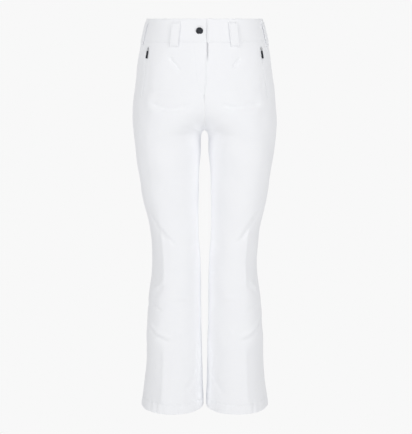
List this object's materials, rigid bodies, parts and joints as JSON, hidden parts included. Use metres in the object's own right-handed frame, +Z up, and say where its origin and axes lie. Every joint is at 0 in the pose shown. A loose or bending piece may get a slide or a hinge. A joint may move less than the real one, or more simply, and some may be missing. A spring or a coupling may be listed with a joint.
{
  "type": "ski pants",
  "caption": "Boot-cut ski pants held open as worn, with covered fly, press button, belt loops, zipped front pockets, lining and inside snow gaiters.",
  "frame": {"origin": "centre of the waist opening, in the plane of the waistband's top edge", "axes": "+Z up out of the waist opening, -Y towards the front of the garment, +X towards the wearer's left"},
  "size_m": [0.3772, 0.2549, 1.03],
  "materials": {
    "shell": "matt woven stretch shell",
    "lining": "smooth brushed lining",
    "bag": "light pocketing",
    "elastic": "ribbed elastic",
    "gaiter": "thin coated taffeta",
    "facing": "smooth taffeta",
    "zip_tape": "woven tape",
    "zip_coil": "moulded coil",
    "button_metal": "dark satin metal",
    "zip_metal": "dark satin metal"
  },
  "bodies": {
    "pants": {"back_panel_left": "shell", "back_panel_right": "shell", "belt_loop_back": "shell", "belt_loop_front_left": "shell", "belt_loop_front_right": "shell", "belt_loop_side_left": "shell", "belt_loop_side_right": "shell", "fly_guard": "bag", "fly_zip_bottom_stop": "zip_metal", "fly_zip_coil_left": "zip_coil", "fly_zip_coil_right": "zip_coil", "fly_zip_tape_left": "zip_tape", "fly_zip_tape_right": "zip_tape", "front_panel_left": "shell", "front_panel_right": "shell", "gaiter_elastic_left": "elastic", "gaiter_elastic_right": "elastic", "gaiter_left": "gaiter", "gaiter_right": "gaiter", "hem_facing_left": "facing", "hem_facing_right": "facing", "lining_back_left": "lining", "lining_back_right": "lining", "lining_front_left": "lining", "lining_front_right": "lining", "pocket_bag_left": "bag", "pocket_bag_right": "bag", "pocket_zip_coil_back_left": "zip_coil", "pocket_zip_coil_back_right": "zip_coil", "pocket_zip_coil_front_left": "zip_coil", "pocket_zip_coil_front_right": "zip_coil", "pocket_zip_stop_left": "zip_metal", "pocket_zip_stop_right": "zip_metal", "pocket_zip_tape_back_left": "zip_tape", "pocket_zip_tape_back_right": "zip_tape", "pocket_zip_tape_front_left": "zip_tape", "pocket_zip_tape_front_right": "zip_tape", "snap_post": "button_metal", "snap_stud": "button_metal", "waistband_back": "shell", "waistband_facing": "lining", "waistband_front_left": "shell", "waistband_front_right": "shell", "waistband_underlap": "shell"},
    "closure_flap": {"waistband_tab": "shell", "fly_placket": "shell", "snap_cap": "button_metal", "snap_socket": "button_metal"},
    "fly_slider": {"fly_zip_slider": "zip_metal"},
    "fly_pull": {"fly_zip_pull": "zip_metal"},
    "pocket_slider_left": {"pocket_zip_slider_left": "zip_metal"},
    "pocket_pull_left": {"pocket_zip_pull_left": "zip_metal"},
    "pocket_slider_right": {"pocket_zip_slider_right": "zip_metal"},
    "pocket_pull_right": {"pocket_zip_pull_right": "zip_metal"}
  },
  "joints": [
    {"name": "closure_fold", "type": "hinge", "parent": "pants", "child": "closure_flap", "pos_m": [-0.019, -0.11161, -0.089], "axis": [0.228, -0.1181, -0.9665], "range_deg": [0, 130]},
    {"name": "fly_zip_slide", "type": "slide", "parent": "pants", "child": "fly_slider", "axis": [0, -0.0944, -0.9955], "range_m": [0, 0.096]},
    {"name": "fly_pull_swing", "type": "hinge", "parent": "fly_slider", "child": "fly_pull", "pos_m": [-0.00396, -0.10456, -0.06646], "axis": [-1, 0.0079, -0.0007], "range_deg": [0, 8]},
    {"name": "pocket_zip_slide_left", "type": "slide", "parent": "pants", "child": "pocket_slider_left", "axis": [0.1514, -0.0539, -0.987], "range_m": [0, 0.116]},
    {"name": "pocket_pull_swing_left", "type": "hinge", "parent": "pocket_slider_left", "child": "pocket_pull_left", "pos_m": [0.14108, -0.06447, -0.07073], "axis": [-0.6655, -0.7438, -0.0615], "range_deg": [0, 160]},
    {"name": "pocket_zip_slide_right", "type": "slide", "parent": "pants", "child": "pocket_slider_right", "axis": [-0.1514, -0.0539, -0.987], "range_m": [0, 0.116]},
    {"name": "pocket_pull_swing_right", "type": "hinge", "parent": "pocket_slider_right", "child": "pocket_pull_right", "pos_m": [-0.14108, -0.06447, -0.07073], "axis": [-0.6655, 0.7438, 0.0615], "range_deg": [0, 160]}
  ]
}
